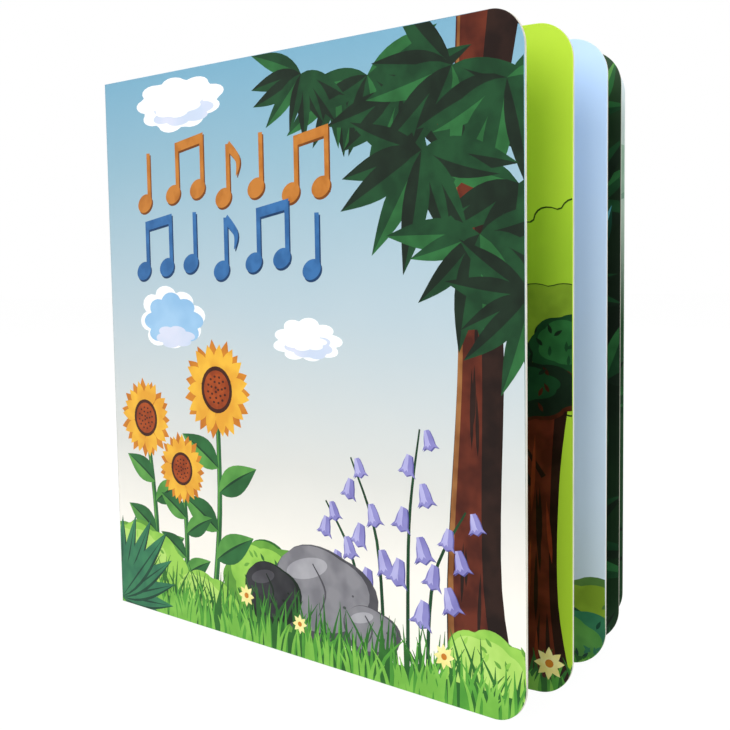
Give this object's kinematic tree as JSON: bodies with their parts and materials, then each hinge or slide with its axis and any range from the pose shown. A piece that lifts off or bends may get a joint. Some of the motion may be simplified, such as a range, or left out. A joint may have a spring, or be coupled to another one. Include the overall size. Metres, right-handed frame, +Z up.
{
  "type": "sound book",
  "caption": "Upright board book with fanned leaves and a thick back block that holds a sound module with push buttons, speaker and battery door.",
  "frame": {"origin": "middle of the spine strip's bottom face, on the surface that the book stands on", "axes": "+Z up along the spine, +X along the back block from the spine to the fore edge, +Y out of the back cover; the leaves fan towards -Y"},
  "size_m": [0.202, 0.1154, 0.21],
  "materials": {
    "printed_cover": "printed and gloss laminated",
    "printed_leaves": "printed, satin varnish",
    "foam": "closed-cell foam, matte",
    "housing_plastic": "moulded, fine texture",
    "circuit_laminate": "green solder mask",
    "epoxy": "cured drop, smooth",
    "steel": "nickel plated",
    "mylar": "thin film, satin",
    "magnet": "zinc plated",
    "red_wire": "insulated wire",
    "black_wire": "insulated wire",
    "silicone": "translucent, soft",
    "purple_button": "moulded, gloss",
    "amber_button": "moulded, gloss",
    "green_button": "moulded, gloss",
    "blue_button": "moulded, gloss",
    "rust_button": "moulded, gloss"
  },
  "bodies": {
    "back_block": {"page_board": "printed_leaves", "foam_frame": "foam", "back_cover": "printed_cover", "module_lid": "housing_plastic", "module_tray": "housing_plastic", "circuit_board": "circuit_laminate", "sound_chip": "epoxy", "speaker_frame": "steel", "speaker_cone": "mylar", "speaker_magnet": "magnet", "speaker_wire_red": "red_wire", "speaker_wire_black": "black_wire", "contact_positive": "steel", "contact_negative": "steel", "contact_link_lid": "steel", "contact_link_door": "steel", "battery_door": "housing_plastic", "door_screw": "steel", "return_dome_1": "silicone", "return_dome_2": "silicone", "return_dome_3": "silicone", "return_dome_4": "silicone", "return_dome_5": "silicone", "button_cell_1": "steel", "button_cell_2": "steel", "button_cell_3": "steel", "lid_screw_1": "steel", "lid_screw_2": "steel", "lid_screw_3": "steel", "lid_screw_4": "steel"},
    "pages": {"page_block": "printed_leaves", "spine_strip": "printed_cover"},
    "front_cover": {"front_cover": "printed_cover"},
    "button_1": {"button_1": "purple_button"},
    "button_2": {"button_2": "amber_button"},
    "button_3": {"button_3": "green_button"},
    "button_4": {"button_4": "blue_button"},
    "button_5": {"button_5": "rust_button"}
  },
  "joints": [
    {"name": "back_fold", "type": "hinge", "parent": "back_block", "child": "pages", "pos_m": [-0.00063, 0.00725, 0], "axis": [0, 0, -1], "range_deg": [0, 150]},
    {"name": "front_fold", "type": "hinge", "parent": "pages", "child": "front_cover", "pos_m": [-0.00063, -0.00725, 0], "axis": [0, 0, -1], "range_deg": [-7.5, 150]},
    {"name": "button_1_press", "type": "slide", "parent": "back_block", "child": "button_1", "axis": [0, 1, 0], "range_m": [0, 0.001], "stiffness_N_per_m": 1500, "springref_m": -0.0005, "deforming": ["return_dome_1"]},
    {"name": "button_2_press", "type": "slide", "parent": "back_block", "child": "button_2", "axis": [0, 1, 0], "range_m": [0, 0.001], "stiffness_N_per_m": 1500, "springref_m": -0.0005, "deforming": ["return_dome_2"]},
    {"name": "button_3_press", "type": "slide", "parent": "back_block", "child": "button_3", "axis": [0, 1, 0], "range_m": [0, 0.001], "stiffness_N_per_m": 1500, "springref_m": -0.0005, "deforming": ["return_dome_3"]},
    {"name": "button_4_press", "type": "slide", "parent": "back_block", "child": "button_4", "axis": [0, 1, 0], "range_m": [0, 0.001], "stiffness_N_per_m": 1500, "springref_m": -0.0005, "deforming": ["return_dome_4"]},
    {"name": "button_5_press", "type": "slide", "parent": "back_block", "child": "button_5", "axis": [0, 1, 0], "range_m": [0, 0.001], "stiffness_N_per_m": 1500, "springref_m": -0.0005, "deforming": ["return_dome_5"]}
  ]
}
